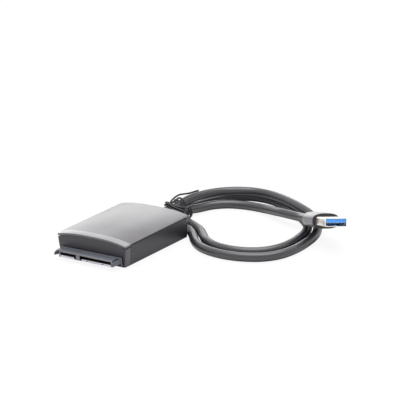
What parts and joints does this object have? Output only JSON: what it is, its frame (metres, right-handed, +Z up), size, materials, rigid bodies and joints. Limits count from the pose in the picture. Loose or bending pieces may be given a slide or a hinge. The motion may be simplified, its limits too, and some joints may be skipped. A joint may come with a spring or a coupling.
{
  "type": "usb to sata adapter",
  "caption": "Small crowned case with a keyed SATA receptacle and guide arms at one end and a coiled cable with a USB type A plug at the other.",
  "frame": {"origin": "under the middle of the case and its receptacle, on the surface the feet stand on", "axes": "+X across the case, +Y from the SATA end to the cable end, +Z up out of the top cover"},
  "size_m": [0.1303, 0.1278, 0.0199],
  "materials": {
    "case_grey": "satin, fine grain",
    "lid_grey": "satin, fine grain",
    "connector_grey": "satin",
    "cable_black": "smooth satin jacket",
    "grip_grey": "satin",
    "plug_blue": "satin",
    "steel": "bright plated",
    "gold": "gold-coloured plating",
    "rubber": "matte",
    "board_green": "coated laminate",
    "chip": "moulded",
    "ferrite": "sintered",
    "lens": "clear, frosted",
    "tie_black": "coated wire"
  },
  "bodies": {
    "root": {"base_shell": "case_grey", "top_cover": "lid_grey", "front_bezel": "case_grey", "light_pipe": "lens", "sata_housing": "connector_grey", "circuit_board": "board_green", "bridge_chip": "chip", "flash_chip": "chip", "clock_crystal": "steel", "power_inductor": "ferrite", "capacitor_1": "steel", "capacitor_2": "steel", "status_led": "lens", "board_screw_1": "steel", "board_screw_2": "steel", "rubber_foot_1": "rubber", "rubber_foot_2": "rubber", "rubber_foot_3": "rubber", "rubber_foot_4": "rubber", "strain_relief": "cable_black", "cable_core": "cable_black", "usb_cable": "cable_black", "plug_grip": "grip_grey", "plug_shell": "steel", "plug_insulator": "plug_blue", "twist_tie": "tie_black", "data_contact_1": "gold", "data_contact_2": "gold", "data_contact_3": "gold", "data_contact_4": "gold", "data_contact_5": "gold", "data_contact_6": "gold", "data_contact_7": "gold", "power_contact_1": "gold", "power_contact_2": "gold", "power_contact_3": "gold", "power_contact_4": "gold", "power_contact_5": "gold", "power_contact_6": "gold", "power_contact_7": "gold", "power_contact_8": "gold", "power_contact_9": "gold", "power_contact_10": "gold", "power_contact_11": "gold", "power_contact_12": "gold", "power_contact_13": "gold", "power_contact_14": "gold", "power_contact_15": "gold", "plug_pad_1": "gold", "plug_pad_2": "gold", "plug_pad_3": "gold", "plug_pad_4": "gold", "plug_spring_1": "gold", "plug_spring_2": "gold", "plug_spring_3": "gold", "plug_spring_4": "gold", "plug_spring_5": "gold"}
  },
  "joints": []
}
